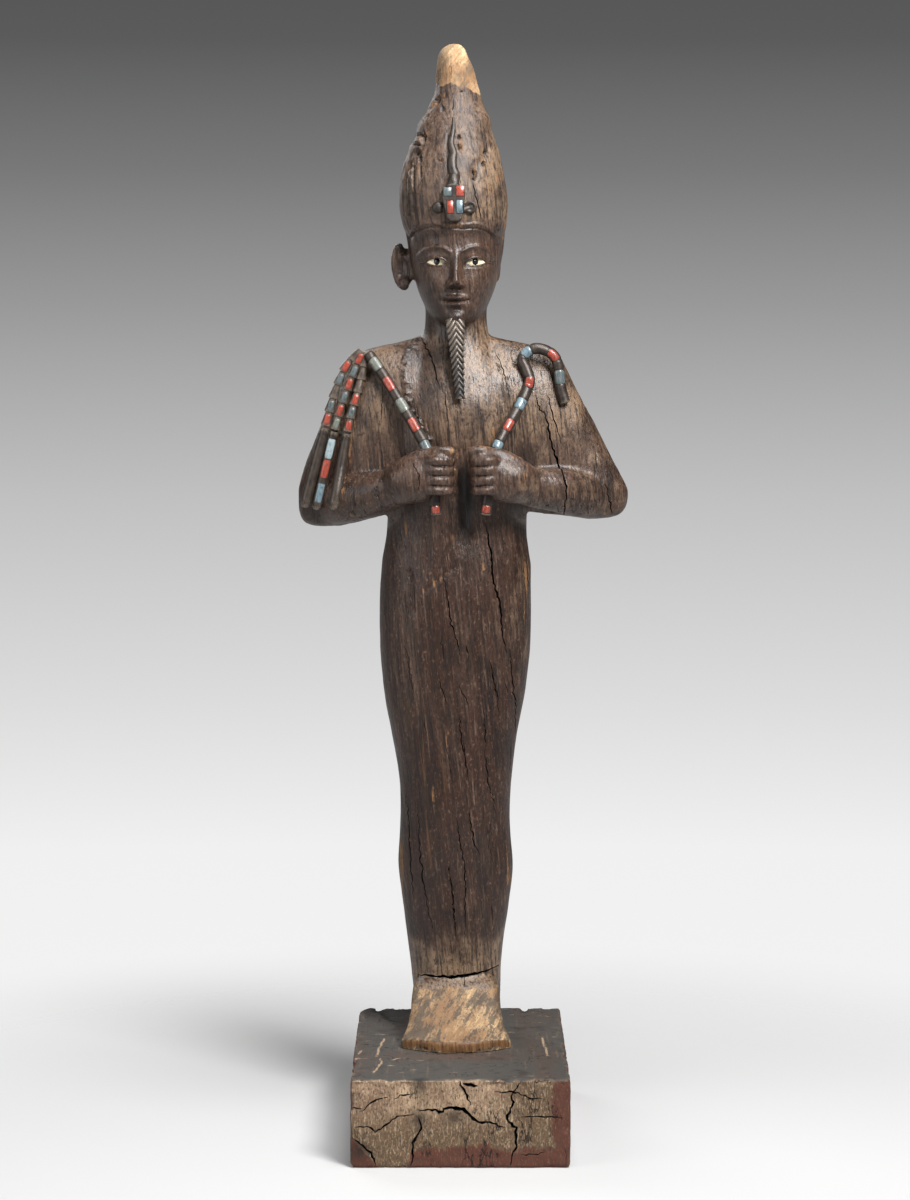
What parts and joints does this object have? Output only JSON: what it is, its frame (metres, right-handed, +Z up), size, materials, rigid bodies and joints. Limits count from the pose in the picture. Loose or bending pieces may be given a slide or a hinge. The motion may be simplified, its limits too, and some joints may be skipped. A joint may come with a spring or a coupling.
{
  "type": "standing osiris figure on plinth",
  "caption": "Shrouded standing Osiris figure of dark wood with tall crown, plaited beard, and inlaid crook and flail, on a rectangular wooden plinth.",
  "frame": {"origin": "centre of the plinth's underside", "axes": "+Z up, the figure faces -Y, +X towards the figure's left hand"},
  "size_m": [0.3223, 0.32, 1.0497],
  "materials": {
    "wood": "satin, dark, checked and worn to pale wood at feet and crown tip",
    "plinth_wood": "matt, cracked, pale end grain in front",
    "bronze": "dark patina, satin",
    "red": "opaque, worn gloss",
    "blue": "opaque, worn gloss",
    "blue_grey": "opaque, worn gloss",
    "pale_green": "opaque, worn gloss",
    "white": "opaque, chalky",
    "bone": "opaque white, polished",
    "black": "opaque, polished"
  },
  "bodies": {
    "root": {"crook": "bronze", "crook_inlay_butt": "red", "crook_inlay_hook_1": "blue", "crook_inlay_hook_2": "red", "crook_inlay_hook_3": "blue_grey", "crook_inlay_shaft_1": "blue", "crook_inlay_shaft_2": "red", "crook_inlay_shaft_3": "blue", "crook_inlay_shaft_4": "red", "eye_white_left": "bone", "eye_white_right": "bone", "figure": "wood", "flail": "bronze", "flail_inlay_butt": "red", "flail_inlay_handle_1": "blue_grey", "flail_inlay_handle_2": "red", "flail_inlay_handle_3": "pale_green", "flail_inlay_handle_4": "red", "flail_inlay_handle_5": "pale_green", "flail_inlay_inner_4": "red", "flail_inlay_inner_5": "blue_grey", "flail_inlay_inner_6": "red", "flail_inlay_middle_1": "red", "flail_inlay_middle_2": "blue_grey", "flail_inlay_middle_3": "red", "flail_inlay_middle_4": "blue_grey", "flail_inlay_middle_5": "red", "flail_inlay_middle_6": "pale_green", "flail_inlay_outer_2": "red", "flail_inlay_outer_3": "blue_grey", "flail_inlay_outer_5": "blue_grey", "flail_inlay_outer_6": "red", "flail_inlay_pendant_blue": "blue", "flail_inlay_pendant_red": "red", "flail_inlay_pendant_white": "white", "plaited_beard": "bronze", "plinth": "plinth_wood", "pupil_left": "black", "pupil_right": "black", "uraeus": "bronze", "uraeus_inlay_lower_left": "blue", "uraeus_inlay_lower_right": "red", "uraeus_inlay_upper_left": "red", "uraeus_inlay_upper_right": "blue_grey"}
  },
  "joints": []
}
